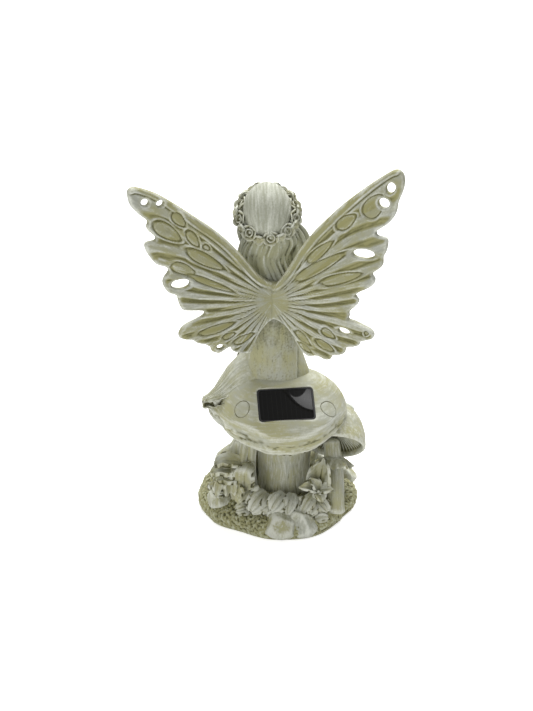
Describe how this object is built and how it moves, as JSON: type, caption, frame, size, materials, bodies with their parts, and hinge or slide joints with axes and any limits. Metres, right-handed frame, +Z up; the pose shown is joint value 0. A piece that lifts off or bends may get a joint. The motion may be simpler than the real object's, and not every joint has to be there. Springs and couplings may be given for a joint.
{
  "type": "solar garden statue of a winged fairy",
  "caption": "Cast resin garden statue of a winged fairy seated on a toadstool, with a solar panel in the toadstool's cap and a small light beside it.",
  "frame": {"origin": "on the ground, at the middle of the underside of the base", "axes": "+Z up, -Y the way the figure faces, +X towards the figure's left wing"},
  "size_m": [0.1611, 0.1179, 0.2565],
  "materials": {
    "casting": "cast stone resin, antiqued",
    "wings": "cast stone resin, antiqued",
    "module_tray": "black moulded plastic",
    "solar_cell": "dark cell under clear epoxy",
    "battery": "sleeved cell",
    "circuit_board": "laminate",
    "light_lens": "clear acrylic",
    "led": "clear epoxy",
    "led_lead": "insulated wire"
  },
  "bodies": {
    "root": {"statue": "casting", "wing_pair": "wings", "module_tray": "module_tray", "solar_cell": "solar_cell", "rechargeable_battery": "battery", "circuit_board": "circuit_board", "light_lens": "light_lens", "led": "led", "led_lead": "led_lead"}
  },
  "joints": []
}
